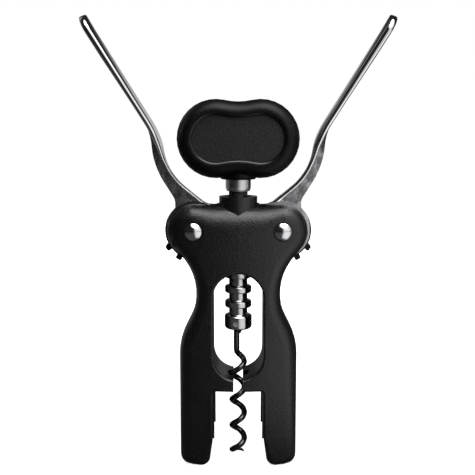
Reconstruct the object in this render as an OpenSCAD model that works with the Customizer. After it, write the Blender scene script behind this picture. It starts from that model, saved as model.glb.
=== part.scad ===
// Wing corkscrew. Two toothed wing levers turn on pivots between a front and a rear casing
// and drive a ringed rack up and down. The rack carries the worm below and the knob above.
// Millimetres, +Z up along the worm axis, levers spread along X, front towards -Y,
// origin on the surface the feet stand on.

/* [Casing] */
// Half thickness of the closed casing on its middle line, front to back
casing_half = 11.7; // [11:0.1:13]
// Radius of the crown across its front and its rear
crown_r = 150; // [120:5:400]
// Height of the flat top of the casing
casing_top = 128.3; // [127:0.1:130]
// Radius of the ears round the pivots
ear_r = 13; // [12.6:0.1:13.4]
// Half width over the legs
leg_out = 28.3; // [27.5:0.1:30]
// Half width of the gap between the legs
gap_half = 11.9; // [11.5:0.1:12.4]
// Height of the underside of the bridge, where the bottle stops
bridge_z = 38.3; // [36:0.1:40]

/* [Window] */
// Half width of the window
window_half = 12; // [11:0.1:12.4]
// Height of the top of the window
window_top = 95.6; // [94:0.1:96.4]
// Height of the bottom of the window
window_bottom = 43.9; // [43:0.1:46]

/* [Gearing] */
// Distance of each pivot from the worm axis
pivot_x = 20.8; // [20.7:0.05:20.9]
// Height of the pivots
pivot_z = 115.5; // [115:0.1:116]
// Pitch of the rack rings
ring_pitch = 7.2; // [7.1:0.05:7.3]
// Pitch radius of the teeth on the lever hub
pitch_r = 15.5; // [15.4:0.05:15.6]
// Radius of the rack rings
ring_r = 6.42; // [6.2:0.02:6.5]
// Radius of the rack between its rings
rack_r = 4.47; // [4:0.01:4.6]

/* [Levers] */
// Half width of the wing of each lever
wing_half = 8.75; // [7:0.25:10]
// Thickness of the wing at its tip
wing_thick = 3.4; // [2.6:0.1:3.6]
// Length of the straight stretch of the wing
wing_run = 48.3; // [35:0.1:50]

/* [Worm] */
// Outer diameter of the worm
worm_d = 9; // [8:0.1:9.2]
// Diameter of the worm wire
wire_d = 2.9; // [2.2:0.1:3]
// Pitch of the worm
worm_pitch = 13.2; // [12:0.1:14]

/* [Knob] */
// Height of the middle of the knob
knob_z = 158.55; // [158:0.05:160]
// Radius of the two lobes of the knob
lobe_r = 18.3; // [16:0.1:19]
// Distance of each lobe from the middle
lobe_x = 10.4; // [9:0.1:12]
// Half thickness of the knob
knob_half = 12.6; // [11.6:0.1:14]

/* [Hidden] */

charcoal = "#2b2c2e";
chrome = "#c9ccd0";
steel = "#a9acb0";
black = "#151516";
nylon = "#3a3b3d";

round_fn = 64;

// Gear proportions
pressure_angle = 14.5;
base_r = pitch_r * cos(pressure_angle);
tip_r = 16;
root_r = 13.9;
tooth_at_pitch = 2.9;
tooth_angle = ring_pitch / pitch_r * 180 / PI;
tooth_count = 7;
tip_ease = 0.45;
hub_half = 3.8;
slot_half = 4.1;
slot_r = tip_r + 0.6;

// Pivot hardware
pin_r = 2.5;
pin_play = 0.05;
head_r = 4.1;
head_rim = 0.7;
head_dome = 1.7;
recess_r = 4.5;
recess_depth = 0.8;

// Bell and bridge
liner_bore_r = 15.3;
liner_r = 16.2;
liner_bottom = 9.8;
liner_gap_half = 11.5;
stop_thick = 2;
stop_half = 9.6;
worm_hole_r = 5.25;
worm_slot_half = 2.3;

// Collar at the top of the casing
collar_r = 9.07;
collar_bottom = 117.9;
collar_top = 131.5;
collar_bore_r = 6.55;
channel_r = 6.75;

// Rack: rings stand at whole pitches from the pivot height
rings_down = 5;
rings_up = 1;
ring_land = 3.1;
boss_r = 6.6;
boss_bottom = 67.2;
boss_top = 73.9;
boss_ease = 1.4;
stem_r = 3.2;
stem_top = 165.9;
shoulder_z = 126.5;
shank_r = 2.6;
shank_top = 74.9;
worm_pin_r = 1.35;
worm_pin_z = 70.5;
worm_pin_sunk = 0.35;
worm_pin_turn = -9.6;
knob_pin_r = 1.25;
knob_pin_z = 152.9;

washer_bottom = 131.8;
washer_top = 134;
washer_r = 4.45;
washer_play = 0.08;
ferrule_bottom = 134.05;
ferrule_r = 6;

// Knob proportions
waist_arc_r = 29;
knob_foot_z = 139.6;
knob_foot_r = 8.8;
rim_inset = 5.8;
panel_inset = 7.6;
panel_floor = 10.6;
panel_back = 9;
core_inset = 5;

// ---------- shared geometry ----------

function unit(v) = v / norm(v);
function smooth(t) = let (c = min(1, max(0, t))) c * c * (3 - 2 * c);
function mix(a, b, t) = a + (b - a) * t;
function reversed(list) = [for (i = [len(list) - 1 : -1 : 0]) list[i]];

// Extrudes a shape drawn in X and Z along Y, from y0 to y1
module slab(y0, y1)
  translate([0, y1, 0]) rotate([90, 0, 0]) linear_extrude(y1 - y0) children();

// Closed skin through rings of equal length, each a list of 3-D points. A ring runs
// counterclockwise as seen from the last ring
module skin(rings) {
  n = len(rings[0]);
  last = len(rings) - 1;
  sides = [for (k = [0 : last - 1], i = [0 : n - 1])
    let (a = k * n + i, b = k * n + (i + 1) % n)
    each [[a, b + n, b], [a, a + n, b + n]]];
  polyhedron(points = [for (r = rings) each r],
    faces = concat(sides, [[for (i = [0 : n - 1]) i]],
      [[for (i = [n - 1 : -1 : 0]) last * n + i]]), convexity = 8);
}

// One rounded corner b between a and c. Gives [x, z, normal x, normal z, edge radius] entries
function corner(a, b, c) =
  let (u = unit([b[0] - a[0], b[1] - a[1]]), w = unit([c[0] - b[0], c[1] - b[1]]),
       side = sign(cross(u, w)), turn = side * acos(min(1, u * w)),
       start = [b[0], b[1]] - u * b[2] * tan(abs(turn) / 2),
       first = atan2(-u[0], u[1]), centre = start - side * b[2] * [cos(first), sin(first)])
  [for (k = [0 : b[3]])
    let (h = first + (b[3] == 0 ? 0 : turn * k / b[3]), out = [cos(h), sin(h)])
    concat(centre + side * b[2] * out, out, [b[4]])];

function rounded(corners) = let (n = len(corners))
  [for (i = [0 : n - 1]) each corner(corners[(i + n - 1) % n], corners[i], corners[(i + 1) % n])];

// Depth of the crowned front face at a distance x from the middle
function crown(x) = casing_half - x * x / (2 * crown_r);

// Ring of an outline whose front edge is rounded over: turn 0 is the side wall, 90 the face
function eased_ring(outline, turn) = [for (p = outline)
  let (inset = p[4] * (1 - cos(turn)), x = p[0] - p[2] * inset)
  [x, -(crown(x) + past_face - abs(p[4]) * (1 - sin(turn))), p[1] - p[3] * inset]];
function flattened(ring, y) = [for (p = ring) [p[0], y, p[2]]];

// Rings from the side wall over the front edge and on past the face
past_face = 0.03;
function front_rings(outline, steps) =
  let (eased = [for (k = [0 : steps]) eased_ring(outline, 90 * k / steps)])
  concat(eased, [flattened(eased[steps], -casing_half - 1)]);

// ---------- casing ----------

// Right-hand corners of the casing: [x, z, corner radius, steps, edge radius]
casing_side = [
  [0, bridge_z, 0, 0, 0.8],
  [gap_half, bridge_z, 0.8, 2, 1.2],
  [gap_half, 15, 12, 2, 1.6],
  [14.1, 0, 5, 6, 3.5],
  [21.5, 0, 20, 2, 4],
  [leg_out, 0.6, 4.8, 6, 4.6],
  [leg_out + 0.2, 62.6, 30, 4, 7],
  [pivot_x - 6.9, pivot_z - 25.4, 27, 9, 6.5],
  [pivot_x + ear_r, pivot_z - 5.5, ear_r, 5, 7],
  [pivot_x + ear_r, casing_top, ear_r - 0.2, 8, 7.5],
  [12, casing_top, 0, 0, crown(12) - 0.1],
  [0, casing_top, 0, 0, casing_half - 0.1]];

function mirrored(list) = [for (i = [len(list) - 2 : -1 : 1])
  concat([-list[i][0]], [for (k = [1 : 4]) list[i][k]])];

casing_outline = rounded(concat(casing_side, mirrored(casing_side)));

// The skin runs past the middle plane and the crowned face, which are then cut clean
module casing_blank() intersection() {
  bands = 16;
  reach = 40;
  skin(concat([[for (p = casing_outline) [p[0], 1, p[1]]]], front_rings(casing_outline, 6)));
  translate([0, 0, -5]) linear_extrude(150) polygon(concat([[reach, 0]],
    [for (k = [bands : -1 : -bands]) let (x = reach * k / bands) [x, -crown(x)]], [[-reach, 0]]));
}

// Depth of the heads' seat, to the nearest twentieth
seat_y = round(20 * (crown(pivot_x) - recess_depth)) / 20;

// Window with round ends, its edges rounded over outwards at the front and at the rear
window_ease = -1.2;
window_outline = rounded([for (c = [[1, window_bottom], [1, window_top], [-1, window_top],
  [-1, window_bottom]]) [c[0] * window_half, c[1], window_half - 0.1, 12, window_ease]]);

module window_void() {
  front = front_rings(window_outline, 3);
  skin(concat([for (ring = reversed(front)) [for (p = ring) [p[0], -p[1], p[2]]]], front));
}

// Notch in the top of the casing that shows the collar
notch_z = 123;
notch_x = 8.8;

module lever_space() slab(-slot_half, slot_half)
  for (side = [-1, 1]) {
    translate([side * pivot_x, pivot_z]) circle(slot_r, $fn = round_fn);
    translate([side * (pivot_x + 10) - 10.3, pivot_z - 22.5]) square([20.6, 20]);
  }

module casing_voids() {
  window_void();
  slab(-casing_half - 1, casing_half + 1)
    polygon([[0, notch_z], [notch_x, casing_top], [notch_x, casing_top + 5],
      [-notch_x, casing_top + 5], [-notch_x, casing_top]]);
  lever_space();
  translate([0, 0, collar_bottom]) cylinder(r = collar_r, h = 30, $fn = round_fn);
  translate([0, 0, window_top - 6]) cylinder(r = channel_r, h = 40, $fn = round_fn);
  translate([0, 0, -1]) cylinder(r = liner_r, h = bridge_z + 1, $fn = round_fn);
  intersection() {
    translate([0, 0, bridge_z - 1]) cylinder(r = liner_r, h = stop_thick + 1, $fn = round_fn);
    translate([-30, -stop_half, 0]) cube([60, 2 * stop_half, 60]);
  }
  translate([0, 0, bridge_z - 1]) cylinder(r = worm_hole_r, h = 16, $fn = round_fn);
  translate([-worm_slot_half, -casing_half - 1, bridge_z - 1])
    cube([2 * worm_slot_half, 2 * casing_half + 2, 12]);
  for (side = [-1, 1]) translate([side * pivot_x, 0, pivot_z]) rotate([90, 0, 0]) {
    translate([0, 0, -20]) cylinder(r = pin_r, h = 40, $fn = round_fn);
    for (end = [-1, 1]) translate([0, 0, end * (seat_y + 2) - 2])
      cylinder(r = recess_r, h = 4, $fn = round_fn);
  }
}

module front_casing() color(charcoal) difference() { casing_blank(); casing_voids(); }

module rear_casing() color(charcoal)
  difference() { mirror([0, 1, 0]) casing_blank(); casing_voids(); }

// Bush that guides the rack, forked where the lever hubs reach in
module guide_collar() color(charcoal) difference() {
  translate([0, 0, collar_bottom])
    cylinder(r = collar_r, h = collar_top - collar_bottom, $fn = round_fn);
  translate([0, 0, collar_bottom - 1])
    cylinder(r = collar_bore_r, h = collar_top - collar_bottom + 2, $fn = round_fn);
  lever_space();
}

// Half of the bell's lining with half of the disc that stops the bottle
module bell_liner() difference() {
  union() {
    translate([0, 0, liner_bottom])
      cylinder(r = liner_r, h = bridge_z - liner_bottom, $fn = round_fn);
    intersection() {
      translate([0, 0, bridge_z]) cylinder(r = liner_r, h = stop_thick, $fn = round_fn);
      translate([0, -stop_half, 0]) cube([60, 2 * stop_half, 60]);
    }
  }
  translate([0, 0, liner_bottom - 1])
    cylinder(r = liner_bore_r, h = bridge_z - liner_bottom + 1, $fn = round_fn);
  cylinder(r = worm_hole_r, h = bridge_z + stop_thick + 1, $fn = round_fn);
  translate([-30, -30, 0]) cube([30 + worm_slot_half, 60, 60]);
  translate([-30, -30, 0]) cube([30 + liner_gap_half, 60, bridge_z]);
}

module left_bell_liner() color(nylon) mirror([1, 0, 0]) bell_liner();
module right_bell_liner() color(nylon) bell_liner();

// ---------- pivots ----------

// Low dome on a short rim, seated on Z = 0
module pivot_head() {
  dome_r = (head_r * head_r + head_dome * head_dome) / (2 * head_dome);
  cylinder(r = head_r, h = head_rim, $fn = round_fn);
  intersection() {
    translate([0, 0, head_rim]) cylinder(r = head_r, h = head_dome, $fn = round_fn);
    translate([0, 0, head_rim + head_dome - dome_r]) sphere(dome_r, $fn = round_fn);
  }
}

module pivot_pin() rotate([90, 0, 0]) {
  translate([0, 0, seat_y]) pivot_head();
  translate([0, 0, -seat_y]) cylinder(r = pin_r, h = 2 * seat_y + head_rim, $fn = round_fn);
}

module pivot_cap() rotate([-90, 0, 0]) translate([0, 0, seat_y]) pivot_head();

module at_pivot(side) translate([side * pivot_x, 0, pivot_z]) children();

module left_pivot_pin() color(chrome) at_pivot(-1) pivot_pin();
module right_pivot_pin() color(chrome) at_pivot(1) pivot_pin();
module left_pivot_cap() color(chrome) at_pivot(-1) pivot_cap();
module right_pivot_cap() color(chrome) at_pivot(1) pivot_cap();

// ---------- levers ----------
// Drawn for the right-hand lever, from its pivot: X outwards, Z up

function involute(a) = tan(a) * 180 / PI - a;
function half_tooth(r) = tooth_at_pitch / pitch_r * 90 / PI + involute(pressure_angle)
  - involute(acos(min(1, base_r / r)));

// One tooth of the hub, pointing along angle at. Its flank is a list of [radius, half angle]
module tooth(at) {
  steps = 4;
  ease_angle = tip_ease / tip_r * 180 / PI;
  flank = concat([[root_r - 0.5, half_tooth(root_r)]],
    [for (k = [0 : steps]) let (r = mix(base_r, tip_r - tip_ease, k / steps)) [r, half_tooth(r)]],
    [[tip_r - 0.3 * tip_ease, half_tooth(tip_r) - 0.3 * ease_angle],
     [tip_r, half_tooth(tip_r) - ease_angle]]);
  polygon(concat([for (q = flank) q[0] * [cos(at - q[1]), sin(at - q[1])]],
    [for (q = reversed(flank)) q[0] * [cos(at + q[1]), sin(at + q[1])]]));
}

module hub_shape() {
  circle(root_r, $fn = round_fn);
  for (k = [0 : tooth_count - 1]) tooth(180 + tooth_angle * (k - 0.5));
}

// A path of arcs: each leg is [length, turn]. Gives [x, z, heading] at even steps
function step_on(p, run, turn) = let (h = p[2] + turn / 2)
  [p[0] + run * cos(h), p[1] + run * sin(h), p[2] + turn];
function walk_leg(p, leg, steps) = steps == 0 ? []
  : let (q = step_on(p, leg[0] / steps, leg[1] / steps))
    concat([q], walk_leg(q, [leg[0] * (steps - 1) / steps, leg[1] * (steps - 1) / steps], steps - 1));
function walk(p, legs, i = 0) = i == len(legs) ? []
  : let (part = walk_leg(p, legs[i], legs[i][2]))
    concat(part, walk(part[len(part) - 1], legs, i + 1));

// Inner face of the flange, from the hub to the tip of the wing: [length, turn, steps]
flange_start = [-4.8, 12.9, 39];
flange_legs = [[12, 0, 2], [20, 40, 9], [15, -20.8, 6], [wing_run, 0, 4], [8.2, 9, 6]];
flange_path = concat([flange_start], walk(flange_start, flange_legs));
// Outer edge of the web under it
web_start = [9, 10.5, 90];
web_legs = [[2.5, 0, 1], [3, -32, 3], [9, 0, 1], [17, 28, 6], [12, -24, 5]];
web_path = concat([web_start], walk(web_start, web_legs));
// Stations on both where the web steps from thick to thin: [on the flange, on the outer edge]
step_at = [8, 6];
neck_end = [17, len(web_path) - 1];

flange_length = flange_legs[0][0] + flange_legs[1][0] + flange_legs[2][0]
  + flange_legs[3][0] + flange_legs[4][0];
tip_round = 8.2;
function leg_at(i, k = 0, before = 0) = i <= flange_legs[k][2]
  ? before + flange_legs[k][0] * i / flange_legs[k][2]
  : leg_at(i - flange_legs[k][2], k + 1, before + flange_legs[k][0]);
function wing_width(s) = s > flange_length - tip_round
  ? wing_half * sqrt(1 - pow((s - flange_length + tip_round) / tip_round * 0.97, 2))
  : mix(hub_half, wing_half, smooth((s - 26) / 13));
function wing_depth(s) = mix(mix(1.4, 2.6, smooth((s - 22) / 24)), wing_thick, smooth((s - 48) / 45));

// Section across the flange: a flat bar with round edges and a slight crown inwards
function flange_ring(p, s) =
  let (half = wing_width(s), t = min(wing_depth(s), 1.9 * half), bead = t / 2, crown = half * 0.045,
       out = [sin(p[2]), -cos(p[2])], bar = [for (side = [1, -1], k = [0 : 6])
         let (a = side * (90 - 30 * k)) [bead - side * bead * sin(a), side * (half - bead + bead * cos(a))]],
       section = concat([[-crown, 0]], [for (k = [7 : 13]) bar[k]], [[t, 0]],
         [for (k = [6 : -1 : 0]) bar[k]]))
  [for (q = section) [p[0] + out[0] * q[0], q[1], p[1] + out[1] * q[0]]];

module web(first, last, half) slab(-half, half) polygon(concat(
  [for (i = [first[0] : last[0]]) let (p = flange_path[i])
    [p[0] + 0.5 * sin(p[2]), p[1] - 0.5 * cos(p[2])]],
  [for (i = [last[1] : -1 : first[1]]) [web_path[i][0], web_path[i][1]]]));

module lever() difference() {
  union() {
    slab(-hub_half, hub_half) hub_shape();
    skin([for (i = [0 : len(flange_path) - 1]) flange_ring(flange_path[i], leg_at(i))]);
    web([0, 0], step_at, 3.1);
    web(step_at, neck_end, 2.3);
  }
  rotate([90, 0, 0]) translate([0, 0, -10])
    cylinder(r = pin_r + pin_play, h = 20, $fn = round_fn);
}

module right_lever() color(chrome) at_pivot(1) lever();
module left_lever() color(chrome) at_pivot(-1) mirror([1, 0, 0]) lever();

// ---------- rack and worm ----------

module turned(points) rotate_extrude($fn = round_fn) polygon(points);

// One ring of the rack with straight flanks at the pressure angle
flank_rise = (ring_r - rack_r) * tan(pressure_angle);
ring_edge = [[0, 0.5], [0.17, 0.12], [0.55, -0.14]];
function ring_profile(z) = concat([[rack_r, z - ring_land / 2 - flank_rise]],
  [for (q = reversed(ring_edge)) [ring_r - q[0], z - ring_land / 2 + q[1]]],
  [for (q = ring_edge) [ring_r - q[0], z + ring_land / 2 - q[1]]],
  [[rack_r, z + ring_land / 2 + flank_rise]]);

module worm_pin_axis() translate([0, 0, worm_pin_z]) rotate([90, 0, worm_pin_turn]) children();
module knob_pin_axis() translate([0, 0, knob_pin_z]) rotate([90, 0, 0]) children();

module rack() color(steel) difference() {
  turned(concat(
    [[0, boss_bottom]],
    [for (a = [0 : 22.5 : 90]) [boss_r - boss_ease * (1 - sin(a)), boss_bottom + boss_ease * (1 - cos(a))]],
    [[boss_r, boss_top - 0.4], [boss_r - 0.3, boss_top], [rack_r, boss_top + 0.5]],
    [for (k = [-rings_down : rings_up]) each ring_profile(pivot_z + k * ring_pitch)],
    [[rack_r, shoulder_z], [stem_r, shoulder_z + 1], [stem_r, stem_top - 0.6],
     [stem_r - 0.6, stem_top], [0, stem_top]]));
  translate([0, 0, boss_bottom - 1])
    cylinder(r = shank_r, h = shank_top - boss_bottom + 1, $fn = round_fn);
  worm_pin_axis() translate([0, 0, -10]) cylinder(r = worm_pin_r, h = 20, $fn = round_fn);
  knob_pin_axis() translate([0, 0, -10]) cylinder(r = knob_pin_r, h = 20, $fn = round_fn);
}

// Centre line of the wire: a straight stem that opens into a right-handed helix, followed
// by its turns t counted down from the end of the stem
helix_r = (worm_d - wire_d) / 2;
stem_offset = 0.8;
stem_end_z = 57.1;
open_turns = 0.57;
// The last half turn falls less steeply and ends in the ground point
hook_start = 3.85;
hook_blend = 0.3;
hook_share = 0.2;
tip_turns = 4.45;
point_turns = 0.5;
worm_rings = 105;
function hooked(t) = t < 0 ? 0 : t < hook_blend ? t * t / (2 * hook_blend) : t - hook_blend / 2;
function worm_level(t) = stem_end_z - worm_pitch * (t - (1 - hook_share) * hooked(t - hook_start));
function worm_radius(t) = mix(stem_offset, helix_r, smooth(t / open_turns));
function wire_centre(t) = let (a = 180 - 360 * max(0, t))
  [worm_radius(t) * cos(a), worm_radius(t) * sin(a), worm_level(t)];
function wire_radius(t) = wire_d / 2 * max(0.12, sqrt(min(1, (tip_turns - t) / point_turns)));

module wire() {
  top_turns = (stem_end_z - boss_bottom - 2) / worm_pitch;
  sides = 8;
  dt = 0.002;
  skin([for (k = [0 : worm_rings])
    let (t = mix(tip_turns, top_turns, k / worm_rings),
         along = unit(wire_centre(t - dt) - wire_centre(t + dt)),
         across = unit(cross(along, [0, 0, 1]) - [0.0001, 0, 0]),
         other = cross(along, across))
    [for (i = [0 : sides - 1]) let (a = 360 * i / sides)
      wire_centre(t) + wire_radius(t) * (across * cos(a) + other * sin(a))]]);
}

module worm() color(black) difference() {
  union() {
    wire();
    turned([[0, boss_bottom - 2.6], [1.3, boss_bottom - 2.6], [shank_r, boss_bottom],
      [shank_r, shank_top], [0, shank_top]]);
  }
  worm_pin_axis() translate([0, 0, -10]) cylinder(r = worm_pin_r, h = 20, $fn = round_fn);
}

module worm_pin() color(steel) worm_pin_axis()
  translate([0, 0, worm_pin_sunk - boss_r])
    cylinder(r = worm_pin_r, h = 2 * (boss_r - worm_pin_sunk), $fn = round_fn);

module bumper_washer() color(black) difference() {
  translate([0, 0, washer_bottom])
    cylinder(r = washer_r, h = washer_top - washer_bottom, $fn = round_fn);
  translate([0, 0, washer_bottom - 1]) cylinder(r = stem_r + washer_play, h = 5, $fn = round_fn);
}

module ferrule() color(chrome) difference() {
  turned([[0, ferrule_bottom], [ferrule_r - 0.5, ferrule_bottom], [ferrule_r - 0.2, ferrule_bottom + 0.8],
    [ferrule_r, ferrule_bottom + 1.6], [ferrule_r, knob_foot_z], [0, knob_foot_z]]);
  translate([0, 0, ferrule_bottom - 1]) cylinder(r = stem_r, h = 10, $fn = round_fn);
}

// ---------- knob ----------

// Two lobes joined by hollow arcs, drawn in by inset all round
waist_arc_z = sqrt(pow(lobe_r + waist_arc_r, 2) - lobe_x * lobe_x);
join_angle = atan2(waist_arc_z, -lobe_x);
function arc(cx, cz, r, from, to, steps) = [for (k = [0 : steps - 1])
  let (a = mix(from, to, k / steps)) [cx + r * cos(a), cz + r * sin(a)]];
function knob_outline(inset) = concat(
  arc(lobe_x, 0, lobe_r - inset, -join_angle, join_angle, 18),
  arc(0, waist_arc_z, waist_arc_r + inset, join_angle - 180, -join_angle, 4),
  arc(-lobe_x, 0, lobe_r - inset, 180 - join_angle, 180 + join_angle, 18),
  arc(0, -waist_arc_z, waist_arc_r + inset, join_angle, 180 - join_angle, 4));

module knob_shape(inset) translate([0, knob_z]) polygon(knob_outline(inset));

// Rim of the grip from the edge of the panel round to the middle plane: [inset, depth]
rim_rings = 7;
rim_flat = 4.2;
rim_profile = concat([[panel_inset, panel_floor], [panel_inset - 0.15, knob_half - 0.9],
    [panel_inset - 0.7, knob_half - 0.25]],
  [for (k = [rim_rings : -1 : 0]) let (a = 90 * k / rim_rings)
    [rim_inset * (1 - cos(a)), rim_flat + (knob_half - rim_flat) * sin(a)]]);

module knob_blank() skin([for (q = concat(rim_profile,
    [for (p = reversed(rim_profile)) [p[0], -p[1]]]))
  [for (c = knob_outline(q[0])) [c[0], q[1], knob_z + c[1]]]]);

module knob_core_solid() slab(-panel_back, panel_back) knob_shape(core_inset);

module knob_grip() color(black) difference() {
  union() {
    knob_blank();
    turned([[0, knob_foot_z], [knob_foot_r - 0.8, knob_foot_z], [knob_foot_r, knob_foot_z + 0.8],
      [knob_foot_r, knob_foot_z + 5], [0, knob_foot_z + 5]]);
  }
  knob_core_solid();
  slab(-panel_floor - 1, panel_floor + 1) knob_shape(panel_inset);
  cylinder(r = stem_r, h = knob_z, $fn = round_fn);
}

module knob_core() color(nylon) difference() {
  knob_core_solid();
  cylinder(r = stem_r, h = stem_top, $fn = round_fn);
  knob_pin_axis() translate([0, 0, -8]) cylinder(r = knob_pin_r, h = 16, $fn = round_fn);
}

module knob_front_panel() color(black) slab(-panel_floor, -panel_back) knob_shape(panel_inset);
module knob_rear_panel() color(black) slab(panel_back, panel_floor) knob_shape(panel_inset);

module knob_pin() color(steel) knob_pin_axis()
  translate([0, 0, -8]) cylinder(r = knob_pin_r, h = 16, $fn = round_fn);

front_casing();
rear_casing();
guide_collar();
left_bell_liner();
right_bell_liner();
left_pivot_pin();
right_pivot_pin();
left_pivot_cap();
right_pivot_cap();
left_lever();
right_lever();
bumper_washer();
rack();
worm();
worm_pin();
ferrule();
knob_core();
knob_grip();
knob_front_panel();
knob_rear_panel();
knob_pin();
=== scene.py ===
import math

import bmesh
import bpy
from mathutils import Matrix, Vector


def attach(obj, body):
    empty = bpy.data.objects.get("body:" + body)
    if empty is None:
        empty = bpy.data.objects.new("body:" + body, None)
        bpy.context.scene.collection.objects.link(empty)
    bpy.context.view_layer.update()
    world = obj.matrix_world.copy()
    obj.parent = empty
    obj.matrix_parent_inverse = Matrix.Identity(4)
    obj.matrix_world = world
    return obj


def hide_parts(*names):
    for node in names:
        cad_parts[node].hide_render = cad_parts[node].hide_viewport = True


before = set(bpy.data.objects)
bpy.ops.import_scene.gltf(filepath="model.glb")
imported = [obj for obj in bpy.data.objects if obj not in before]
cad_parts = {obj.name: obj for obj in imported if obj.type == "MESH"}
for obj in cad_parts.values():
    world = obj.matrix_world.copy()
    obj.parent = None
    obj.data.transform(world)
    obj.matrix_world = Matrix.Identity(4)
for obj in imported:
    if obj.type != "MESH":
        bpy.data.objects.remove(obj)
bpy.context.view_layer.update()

MM = 0.001

# Places that are shared with the solids
PIVOT_X, PIVOT_Z = 20.8 * MM, 115.5 * MM    # the right lever's pin; the left one mirrors it
KNOB_Z = 158.55 * MM                        # middle height of the knob

# Copies of the solids
WELD = 0.002 * MM                   # points closer than this are one point
FLAT = math.radians(0.2)            # facets that turn less than this are one facet
EAR_LEDGE_Z = 115.44 * MM           # a step of a tenth of a millimetre in each ear, drawn together
EAR_LEDGE_BAND = 0.08 * MM          # how far above and below it its points lie
EAR_LEDGE_X = 28 * MM               # and how far out they start
EAR_LEDGE_WELD = 0.42 * MM
LINING_FOOT = 15 * MM               # lower edge of the lining
LIP_Y = 10.5 * MM                   # the lip of the knob's rim starts about level with the panels
LIP_INWARDS = -0.3                  # and its faces look in at least this much

# Turns, in degrees, past which an edge stays sharp
CASING_CREASE, LEVER_CREASE, WORM_CREASE, GRIP_CREASE = 32, 50, 60, 40


# ---------- finishes ----------

class Value:
    """A node's output that sums are written on. Each operator adds one Math node."""

    def __init__(self, board, socket):
        self.board, self.socket = board, socket

    def _sum(self, operation, first, second=0.0):
        return self.board.node("Math", {"operation": operation}, {0: first, 1: second})

    def __add__(self, other):
        return self._sum("ADD", self, other)

    def __radd__(self, other):
        return self._sum("ADD", other, self)

    def __sub__(self, other):
        return self._sum("SUBTRACT", self, other)

    def __rsub__(self, other):
        return self._sum("SUBTRACT", other, self)

    def __mul__(self, other):
        return self._sum("MULTIPLY", self, other)

    def __rmul__(self, other):
        return self._sum("MULTIPLY", other, self)

    def __abs__(self):
        return self._sum("ABSOLUTE", self)

    def most(self, other):
        return self._sum("MAXIMUM", self, other)

    def between(self, low, high):
        """0 below low and 1 above high, with a soft step between them."""
        return self.board.node("MapRange", {"interpolation_type": "SMOOTHSTEP"},
                               {0: self, 1: low, 2: high, 3: 0.0, 4: 1.0})


class Board:
    """A node tree that nodes are laid out on."""

    def __init__(self, tree):
        self.tree = tree
        self.place = self.node("TexCoord", out="Object")

    def node(self, kind, settings=None, sockets=None, out=0):
        """Adds a node: its settings first, then the values or links of its sockets."""
        made = self.tree.nodes.new("ShaderNode" + kind)
        for key, value in (settings or {}).items():
            setattr(made, key, value)
        for key, value in (sockets or {}).items():
            self.feed(made.inputs[key], value)
        return None if out is None else Value(self, made.outputs[out])

    def feed(self, socket, value):
        if isinstance(value, Value):
            self.tree.links.new(value.socket, socket)
        else:
            socket.default_value = value

    def vector(self, operation, *given, out=0):
        return self.node("VectorMath", {"operation": operation}, dict(enumerate(given)), out)

    def axis(self, letter):
        return self.node("SeparateXYZ", {}, {0: self.place}, out=letter)

    def ray(self, kind):
        """1 for light rays of this kind, 0 for the others."""
        return self.node("LightPath", out=f"Is {kind} Ray")

    def towards(self, azimuth, full, faded, rise=None):
        """1 within full degrees of an azimuth counted from the front to the right, 0 past faded.
        With a rise it is a cone round that direction, without one an upright wedge."""
        turn, up = math.radians(azimuth), math.radians(rise or 0)
        flat = (1, 1, 0) if rise is None else (1, 1, 1)
        unit = self.vector("NORMALIZE", self.vector("MULTIPLY", self.place, flat))
        aim = (math.cos(up) * math.sin(turn), -math.cos(up) * math.cos(turn), math.sin(up))
        along = self.vector("DOT_PRODUCT", unit, aim, out="Value")
        return along.between(math.cos(math.radians(faded)), math.cos(math.radians(full)))

    def grain(self, size, detail=2.0, stretch=(1, 1, 1)):
        """Noise whose blobs are about size metres across, centred on 0.5."""
        spread = self.vector("MULTIPLY", self.place, stretch)
        return self.node("TexNoise", {}, {"Vector": spread, "Scale": 1 / size, "Detail": detail})

    def colour(self, factor, low, high):
        """The colour low where the factor is 0 and high where it is 1. Low may be a mix itself."""
        start = low if isinstance(low, Value) else (*low, 1.0)
        return self.node("Mix", {"data_type": "RGBA"},
                         {0: factor, 6: start, 7: (*high, 1.0)}, out=2)


class Finish(Board):
    """One material: a Principled shader and the nodes that feed it."""

    def __init__(self, name, **constants):
        self.material = bpy.data.materials.new(name)
        self.material.use_nodes = True
        super().__init__(self.material.node_tree)
        self.shader = self.tree.nodes["Principled BSDF"]
        for socket, value in constants.items():
            self.set(socket.replace("_", " "), value)

    def set(self, socket, value):
        self.feed(self.shader.inputs[socket], value)

    def bump(self, height, depth, strength):
        self.set("Normal", self.node("Bump", {}, {"Height": height, "Distance": depth,
                                                  "Strength": strength}, out="Normal"))


def charcoal_plastic():
    """Moulded casing: fine leather-like spark texture and faint flow marks."""
    f = Finish("charcoal_plastic", IOR=1.5)
    fine, coarse, flow = f.grain(0.6 * MM, 3.0), f.grain(1.4 * MM), f.grain(22 * MM, 1.0)
    spark = (fine * 0.8 + flow * 0.2).between(0.3, 0.7)
    f.set("Base Color", f.colour(spark, (0.002, 0.002, 0.0021), (0.012, 0.012, 0.0123)))
    f.set("Roughness", fine * 0.12 + flow * 0.08 + 0.24)
    f.bump(fine + coarse * 0.5, 0.15 * MM, 1.0)
    return f


def soft_grip():
    """Rubbery skin of the knob's rim."""
    f = Finish("soft_grip", IOR=1.45, Specular_IOR_Level=0.2)
    fine, wide = f.grain(0.35 * MM, 3.0), f.grain(16 * MM, 1.0)
    f.set("Base Color", f.colour(wide, (0.002, 0.002, 0.0022), (0.005, 0.005, 0.0053)))
    f.set("Roughness", fine * 0.10 + wide * 0.06 + 0.34)
    f.bump(fine, 0.02 * MM, 0.4)
    return f


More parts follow.
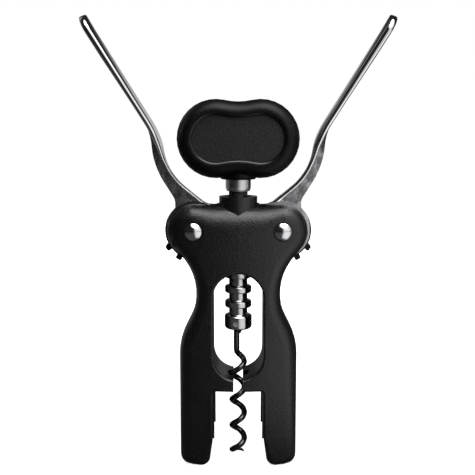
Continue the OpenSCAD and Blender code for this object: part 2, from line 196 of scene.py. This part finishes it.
def glossy_lip():
    """Edge of the rim round the sunk faces, shiny where the mould closed on it."""
    f = Finish("glossy_lip", IOR=1.5)
    uneven = f.grain(1.5 * MM)
    f.set("Base Color", f.colour(uneven, (0.004, 0.004, 0.0042), (0.008, 0.008, 0.0084)))
    f.set("Roughness", 0.14 + uneven * 0.08)
    f.bump(uneven, 0.02 * MM, 0.3)
    return f


def panel_plastic():
    """Sunk faces of the knob: a coarser etched texture."""
    f = Finish("panel_plastic", IOR=1.48)
    fine, coarse = f.grain(0.5 * MM, 3.0), f.grain(1.3 * MM)
    f.set("Base Color", f.colour(fine, (0.007, 0.007, 0.0073), (0.022, 0.022, 0.0225)))
    f.set("Roughness", fine * 0.15 + 0.30)
    f.bump(fine + coarse * 0.3, 0.09 * MM, 1.0)
    return f


def nylon_lining():
    """Plain moulded nylon of the bell's lining and the knob's core."""
    f = Finish("nylon_lining", IOR=1.5)
    fine = f.grain(0.8 * MM)
    f.set("Base Color", f.colour(fine, (0.016, 0.016, 0.017), (0.028, 0.028, 0.030)))
    f.set("Roughness", fine * 0.15 + 0.38)
    f.bump(fine, 0.03 * MM, 0.4)
    return f


# Where the lever's finish changes: each pair is where the change starts and where it ends
TEETH_REACH = (12.9 * MM, 13.5 * MM)    # painted shade on the teeth begins, by distance from the pivot
TEETH_SHADE_TOP = (1 * MM, 7 * MM)           # painted shade on the teeth ends, by height over the pivot
WEB_SIDE = (3.2 * MM, 4.0 * MM)         # mottling ends, by distance from the middle plane
WEB_REACH = (37 * MM, 45 * MM)          # mottling ends, by distance from the pivot


def plated_casting():
    """Chrome over a polished casting: mirror bright on the wing, blotched on the web, and with
    painted shade on the teeth, which sit recessed behind the casing's front."""
    f = Finish("plated_casting", Metallic=1.0)
    ripple, blotch, haze = f.grain(9 * MM, 1.0), f.grain(4.5 * MM, 2.0), f.grain(1.5 * MM, 2.0)
    aside, above = abs(f.axis("X")) - PIVOT_X, f.axis("Z") - PIVOT_Z
    reach = aside * aside + above * above
    past_teeth, past_web = (reach.between(start ** 2, end ** 2)
                            for start, end in (TEETH_REACH, WEB_REACH))
    # Painted shade: the teeth, recessed behind the casing's front, are darkened in their colour
    teeth_shade = past_teeth * (1 - above.between(*TEETH_SHADE_TOP))
    web = (1 - abs(f.axis("Y")).between(*WEB_SIDE)) * (1 - past_web)
    cloud = web * blotch.between(0.35, 0.65)
    plain = f.colour(cloud, (0.76, 0.765, 0.78), (0.34, 0.345, 0.355))
    # the teeth take the near-black of the painted shade
    f.set("Base Color", f.colour(teeth_shade, plain, (0.02, 0.02, 0.02)))
    f.set("Roughness", 0.06 + haze * 0.05 + web * 0.10 + cloud * 0.12)
    f.bump(ripple * 6 + web * blotch * 14, 0.03 * MM, 0.6)
    return f


def polished_chrome():
    """Bright plating of the pivot pins and caps."""
    f = Finish("polished_chrome", Metallic=1.0)
    haze = f.grain(2.5 * MM)
    f.set("Base Color", f.colour(haze, (0.74, 0.745, 0.76), (0.66, 0.665, 0.68)))
    f.set("Roughness", 0.12 + haze * 0.08)
    f.bump(f.grain(5 * MM, 1.0), 0.01 * MM, 0.3)
    return f


LATHE = (0.02, 0.02, 1.0)       # draws a grain out into rings round the upright axis


def turned_steel():
    """Lathe-turned steel: fine rings across the axis."""
    f = Finish("turned_steel", Metallic=1.0)
    rings, haze = f.grain(0.4 * MM, 2.0, LATHE), f.grain(3 * MM)
    f.set("Base Color", f.colour(haze, (0.62, 0.62, 0.63), (0.48, 0.48, 0.49)))
    f.set("Roughness", 0.08 + rings * 0.10 + haze * 0.08)
    f.bump(rings + haze * 3, 0.04 * MM, 0.6)
    return f


def dull_rivet():
    """End of the pin that holds the worm: sawn off and left matt."""
    f = Finish("dull_rivet", Metallic=0.2)
    scuff = f.grain(0.5 * MM, 3.0)
    f.set("Base Color", f.colour(scuff, (0.42, 0.42, 0.43), (0.20, 0.20, 0.21)))
    f.set("Roughness", 0.38 + scuff * 0.2)
    f.bump(scuff, 0.05 * MM, 0.5)
    return f


def brushed_steel():
    """Ferrule under the knob: satin steel, brushed round."""
    f = Finish("brushed_steel", Metallic=1.0)
    rings, haze = f.grain(0.3 * MM, 2.0, LATHE), f.grain(2.5 * MM)
    f.set("Base Color", f.colour(haze, (0.70, 0.70, 0.71), (0.58, 0.58, 0.59)))
    f.set("Roughness", 0.26 + rings * 0.10 + haze * 0.06)
    f.bump(rings, 0.01 * MM, 0.4)
    return f


def slick_coating():
    """Glossy black non-stick coat on the worm, a little uneven."""
    f = Finish("slick_coating", IOR=1.5, Coat_Roughness=0.1, Coat_IOR=1.5)
    uneven, speck = f.grain(1.2 * MM), f.grain(0.3 * MM, 3.0)
    f.set("Base Color", f.colour(speck, (0.006, 0.006, 0.007), (0.014, 0.014, 0.015)))
    f.set("Roughness", 0.16 + uneven * 0.14)
    f.set("Coat Weight", 0.3 + uneven * 0.3)
    f.bump(uneven, 0.03 * MM, 0.4)
    return f


def washer_rubber():
    """Matt black rubber of the bumper washer."""
    f = Finish("washer_rubber", IOR=1.45)
    fine = f.grain(0.4 * MM)
    f.set("Base Color", f.colour(fine, (0.008, 0.008, 0.008), (0.018, 0.018, 0.018)))
    f.set("Roughness", 0.5 + fine * 0.2)
    f.bump(fine, 0.02 * MM, 0.4)
    return f


casing = charcoal_plastic()
lining = nylon_lining()
grip = soft_grip()
lip = glossy_lip()
panel = panel_plastic()
plated = plated_casting()
chrome = polished_chrome()
steel = turned_steel()
rivet = dull_rivet()
satin = brushed_steel()
coating = slick_coating()
rubber = washer_rubber()


# ---------- pieces ----------

def dress(piece, finish):
    """Gives a piece one finish all over."""
    piece.data.materials.clear()
    piece.data.materials.append(finish.material)


def smooth_copy(node, name, body, slot, finish, crease=CASING_CREASE):
    """A merged copy of a CAD node with soft shading across its facets; it stands for the node."""
    mesh = bpy.data.meshes.new(name)
    bm = bmesh.new()
    bm.from_mesh(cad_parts[node].data)
    bmesh.ops.remove_doubles(bm, verts=bm.verts, dist=WELD)
    ledge = [v for v in bm.verts if slot == "casing" and abs(v.co.x) > EAR_LEDGE_X
             and abs(v.co.z - EAR_LEDGE_Z) < EAR_LEDGE_BAND]
    bmesh.ops.remove_doubles(bm, verts=ledge, dist=EAR_LEDGE_WELD)
    bmesh.ops.dissolve_limit(bm, angle_limit=FLAT, verts=bm.verts, edges=bm.edges)
    for face in bm.faces:
        face.smooth = True
    for side in bm.edges:
        side.smooth = side.calc_face_angle(0.0) < math.radians(crease)
    bm.to_mesh(mesh)
    bm.free()
    piece = bpy.data.objects.new(name, mesh)
    bpy.context.scene.collection.objects.link(piece)
    weigh = piece.modifiers.new("even_shading", "WEIGHTED_NORMAL")
    weigh.keep_sharp = True
    dress(piece, finish)
    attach(piece, body)
    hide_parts(node)
    return piece


smooth_copy("front_casing", "front_shell", "body", "casing", casing)
smooth_copy("rear_casing", "rear_shell", "body", "casing", casing)
smooth_copy("left_lever", "left_wing_lever", "left_wing", "lever", plated, LEVER_CREASE)
smooth_copy("right_lever", "right_wing_lever", "right_wing", "lever", plated, LEVER_CREASE)
smooth_copy("worm", "coated_worm", "spindle", "worm", coating, WORM_CREASE)
rim = smooth_copy("knob_grip", "knob_rim", "spindle", "grip", grip, GRIP_CREASE)
rim.data.materials.append(lip.material)
for face in rim.data.polygons:      # the edge that the two panels sit in is left glossy
    out = Vector((face.center.x, 0, face.center.z - KNOB_Z)).normalized()
    if abs(face.center.y) > LIP_Y and face.normal.dot(out) < LIP_INWARDS:
        face.material_index = 1


def trimmed_lining(node, name):
    """The lining ends at the lower edge that the photograph shows, above the curve of the foot."""
    piece = smooth_copy(node, name, "body", "liner", lining)
    for corner in piece.data.vertices:
        corner.co.z = max(corner.co.z, LINING_FOOT)


trimmed_lining("left_bell_liner", "left_lining")
trimmed_lining("right_bell_liner", "right_lining")

for node, finish in {
        "guide_collar": casing,
        "left_pivot_pin": chrome, "right_pivot_pin": chrome,
        "left_pivot_cap": chrome, "right_pivot_cap": chrome,
        "bumper_washer": rubber, "rack": steel, "worm_pin": rivet, "ferrule": satin,
        "knob_core": lining, "knob_front_panel": panel, "knob_rear_panel": panel,
        "knob_pin": steel}.items():
    dress(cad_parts[node], finish)


# ---------- studio ----------

MIDDLE = (0, 0, 0.11)       # the point that the lamps are turned to


def softbox(name, place, size, power):
    """A flat lamp that lights the object but is not seen in it."""
    light = bpy.data.lights.new(name, "AREA")
    light.shape, light.size, light.size_y = "RECTANGLE", *size
    light.energy = power
    holder = bpy.data.objects.new(name, light)
    bpy.context.scene.collection.objects.link(holder)
    holder.location = place
    holder.rotation_euler = (Vector(MIDDLE) - Vector(place)).to_track_quat("-Z", "Y").to_euler()
    holder.visible_glossy = False


softbox("right_softbox", (0.62, -0.60, 0.40), (0.8, 0.6), 5.0)
softbox("top_softbox", (-0.10, -0.35, 0.80), (0.6, 0.4), 3.0)
softbox("rear_fill", (0, 0.85, 0.45), (0.7, 0.7), 6.0)

# What polished surfaces see round them: azimuth, half width that is fully lit, and half width
# past which nothing is, in degrees; then how bright each is
RIGHT_WALL, RIGHT_LIGHT = (45, 18, 48), 1.1
BACK_WALL, BACK_LIGHT = (222, 6, 24), 0.35
REAR_STRIP, REAR_LIGHT = (168, 10, 22), 0.5
CEILING, CEILING_RISE, CEILING_LIGHT = (28, 10, 38), 64, 7.0
DIM_ROOM = 0.02             # the room's light beside them, for every ray but the camera's
# Where the walls fade in from below or out above, as the sine of the angle over level
RIGHT_FOOT, RIGHT_TOP = (0.0, 0.06), (0.75, 0.95)
BACK_TOP, REAR_TOP = (0.6, 0.8), (0.15, 0.28)

FLOOR_SIDE = 8
FLOOR_WHITE, FLOOR_GAIN = 0.82, 0.23    # under the object, and what it gains further out
# Distances from the object's foot, in metres, between which the floor changes
FLOOR_GAIN_REACH, FLOOR_MIRROR_REACH = (0.05, 0.25), (0.04, 0.11)


def floor():
    """Pale floor that shows white to the camera and keeps the object's shadow."""
    f = Finish("pale_floor", Roughness=1.0, Specular_IOR_Level=0.0)
    seen, mirrored = f.ray("Camera"), f.ray("Glossy")
    f.set("Base Color", f.colour(seen, (0.10, 0.10, 0.10), (0.9, 0.9, 0.9)))
    reach = f.vector("LENGTH", f.place, out="Value")
    white = FLOOR_WHITE + reach.between(*FLOOR_GAIN_REACH) * FLOOR_GAIN
    lit = f.towards(*RIGHT_WALL) + f.towards(*BACK_WALL) * BACK_LIGHT
    glow = seen * white + mirrored * (lit * reach.between(*FLOOR_MIRROR_REACH))
    f.set("Emission Color", f.colour(glow, (0, 0, 0), (1, 1, 1)))
    f.set("Emission Strength", 1.0)
    bpy.ops.mesh.primitive_plane_add(size=FLOOR_SIDE)
    plane = bpy.context.object
    plane.name = "floor"
    dress(plane, f)


def surroundings():
    """White to the camera, soft light walls to polished surfaces and a dim room to the rest."""
    world = bpy.data.worlds.new("studio")
    bpy.context.scene.world = world
    world.use_nodes = True
    world.node_tree.nodes.clear()
    room = Board(world.node_tree)
    seen, mirrored = room.ray("Camera"), room.ray("Glossy")
    height = room.axis("Z")
    risen = room.towards(*RIGHT_WALL) * height.between(*RIGHT_FOOT)
    right = risen * (1 - height.between(*RIGHT_TOP)) * RIGHT_LIGHT
    ceiling = room.towards(*CEILING, rise=CEILING_RISE) * CEILING_LIGHT
    rear = room.towards(*REAR_STRIP) * REAR_LIGHT * (1 - height.between(*REAR_TOP))
    back = room.towards(*BACK_WALL) * BACK_LIGHT * (1 - height.between(*BACK_TOP))
    brightest = right.most(ceiling).most(rear).most(back)
    light = seen + (1 - seen) * DIM_ROOM + mirrored * brightest
    sky = room.node("Background", {}, {"Color": (1, 1, 1, 1), "Strength": light})
    room.node("OutputWorld", {}, {"Surface": sky}, out=None)


floor()
surroundings()

EYE = (-0.00034, -0.3466, 0.16028)
EYE_TILT = 82               # degrees up from straight down, 8 below level
SENSOR, LENS = 36.0, 55.26

eye = bpy.data.cameras.new("eye")
eye.sensor_width, eye.lens = SENSOR, LENS
camera = bpy.data.objects.new("eye", eye)
bpy.context.scene.collection.objects.link(camera)
camera.location = EYE
camera.rotation_euler = (math.radians(EYE_TILT), 0, 0)
bpy.context.scene.camera = camera
bpy.context.scene.view_settings.view_transform = "Standard"

bpy.context.view_layer.update()
